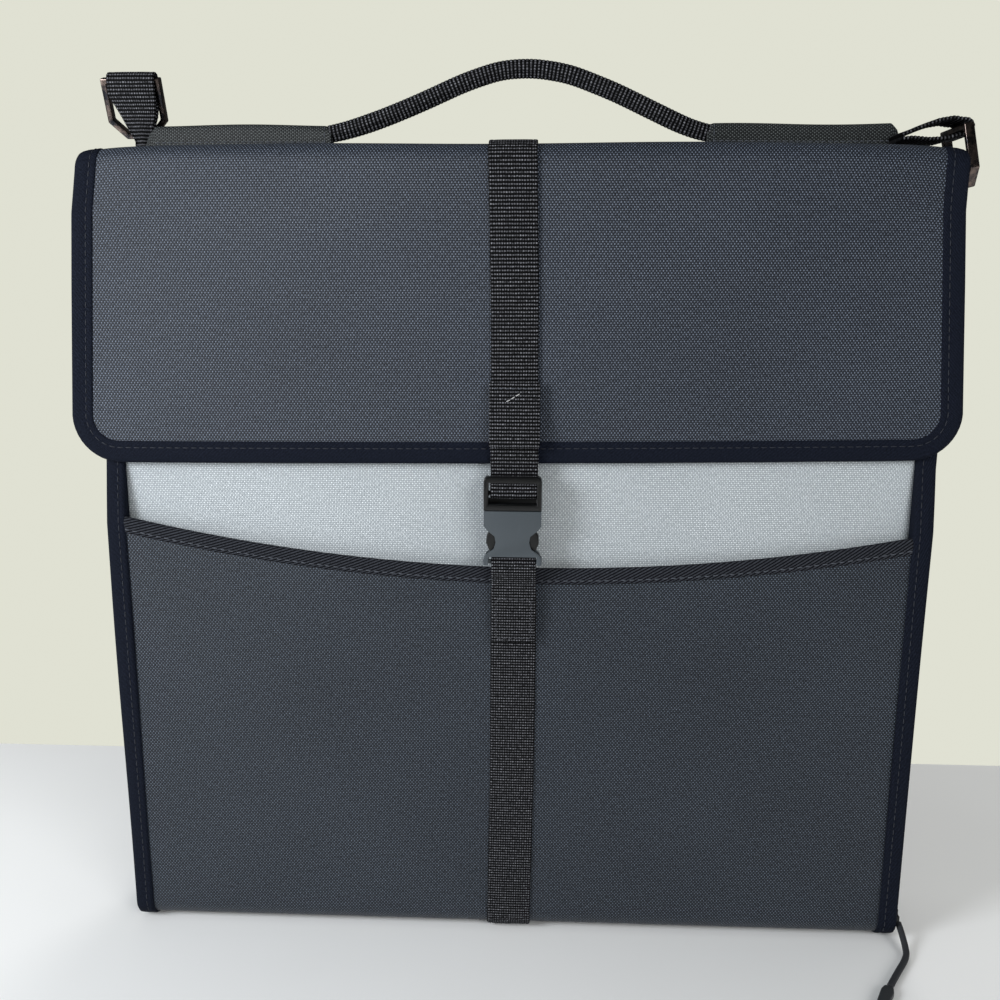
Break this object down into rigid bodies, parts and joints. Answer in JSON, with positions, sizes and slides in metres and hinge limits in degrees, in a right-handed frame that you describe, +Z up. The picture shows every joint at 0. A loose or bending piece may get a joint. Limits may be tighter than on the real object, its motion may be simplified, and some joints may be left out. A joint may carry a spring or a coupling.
{
  "type": "portfolio case",
  "caption": "Soft zipped case for carrying drawings, with a front flap, webbing strap and buckle, slip pocket, carry handle and shoulder-strap rings.",
  "frame": {"origin": "on the surface that the case stands on, at the middle of its width and of its main compartment's depth", "axes": "+Z up, the flap and pocket face -Y, +X to the right as the front is faced"},
  "size_m": [0.4786, 0.1243, 0.4947],
  "materials": {
    "charcoal_cloth": "coarse woven polyester with pale flecks",
    "pocket_cloth": "coarse woven polyester",
    "pale_cloth": "fine woven polyester",
    "edge_tape": "matte woven tape",
    "webbing": "ribbed nylon webbing",
    "lining": "plain woven lining",
    "board": "grey board stiffener",
    "zip": "moulded coil and painted slider",
    "buckle": "satin moulded acetal",
    "steel": "black-plated steel, rubbed brown on its faces",
    "grip": "soft moulded plastic"
  },
  "bodies": {
    "shell": {"back_cover": "charcoal_cloth", "back_board": "board", "back_lining": "lining", "back_binding_left": "edge_tape", "back_binding_right": "edge_tape", "back_binding_top": "edge_tape", "back_binding_bottom": "edge_tape", "left_gusset": "charcoal_cloth", "right_gusset": "charcoal_cloth", "top_gusset": "charcoal_cloth", "bottom_gusset": "pocket_cloth", "rear_zip_left": "zip", "rear_zip_right": "zip", "rear_zip_top": "zip", "flap_yoke": "charcoal_cloth", "top_strap": "webbing", "back_strap": "webbing", "base_strap": "webbing", "left_handle_sleeve": "charcoal_cloth", "right_handle_sleeve": "charcoal_cloth", "left_ring_tab": "webbing", "right_ring_tab": "webbing"},
    "front_leaf": {"front_lining": "lining", "front_board": "board", "front_panel": "pale_cloth", "front_pocket": "pocket_cloth", "pocket_binding": "edge_tape", "leaf_binding_left": "edge_tape", "leaf_binding_right": "edge_tape", "front_zip_left": "zip", "front_zip_right": "zip", "front_zip_top": "zip", "lower_strap": "webbing", "buckle_loop": "webbing", "buckle_socket": "buckle"},
    "flap": {"flap_lining": "lining", "flap_board": "board", "flap_panel": "charcoal_cloth", "flap_binding": "edge_tape", "flap_strap": "webbing"},
    "strap_end": {"strap_loop": "webbing", "strap_tail": "webbing", "buckle_plug": "buckle"},
    "left_prong_arm": {"left_prong": "buckle"},
    "right_prong_arm": {"right_prong": "buckle"},
    "zip_runner": {"zip_slider": "zip"},
    "zip_pull": {"pull_cord": "webbing", "pull_grip": "grip"},
    "handle": {"handle_grip": "webbing"},
    "left_d_ring": {"left_ring": "steel"},
    "right_d_ring": {"right_ring": "steel"}
  },
  "joints": [
    {"name": "flap_open", "type": "hinge", "parent": "shell", "child": "flap", "pos_m": [0, -0.0279, 0.436], "axis": [-1, 0, 0], "range_deg": [0, 180]},
    {"name": "front_open", "type": "hinge", "parent": "shell", "child": "front_leaf", "pos_m": [0, -0.0284, 0], "axis": [1, 0, 0], "range_deg": [0, 76]},
    {"name": "buckle_release", "type": "slide", "parent": "flap", "child": "strap_end", "axis": [0, 0, 1], "range_m": [0, 0.028]},
    {"name": "left_prong_squeeze", "type": "hinge", "parent": "strap_end", "child": "left_prong_arm", "pos_m": [-0.009, -0.0331, 0.2575], "axis": [0, -1, 0], "range_deg": [0, 6], "stiffness_Nm_per_rad": 0.6},
    {"name": "right_prong_squeeze", "type": "hinge", "parent": "strap_end", "child": "right_prong_arm", "pos_m": [0.009, -0.0331, 0.2575], "axis": [0, 1, 0], "range_deg": [0, 6], "stiffness_Nm_per_rad": 0.6},
    {"name": "zip_run", "type": "slide", "parent": "shell", "child": "zip_runner", "axis": [0, 0, 1], "range_m": [0, 0.25]},
    {"name": "pull_swing", "type": "hinge", "parent": "zip_runner", "child": "zip_pull", "pos_m": [0.2279, -0.0213, 0.0094], "axis": [0.8601, -0.5101, 0], "range_deg": [0, 85]},
    {"name": "handle_swing", "type": "hinge", "parent": "shell", "child": "handle", "pos_m": [0, 0.0207, 0.457], "axis": [1, 0, 0], "range_deg": [-65, 65]},
    {"name": "left_ring_swing", "type": "hinge", "parent": "shell", "child": "left_d_ring", "pos_m": [-0.2133, 0.0207, 0.485], "axis": [1, 0, 0], "range_deg": [0, 150]},
    {"name": "right_ring_swing", "type": "hinge", "parent": "shell", "child": "right_d_ring", "pos_m": [0.2318, 0.0095, 0.4564], "axis": [0, -1, 0], "range_deg": [0, 100]}
  ]
}
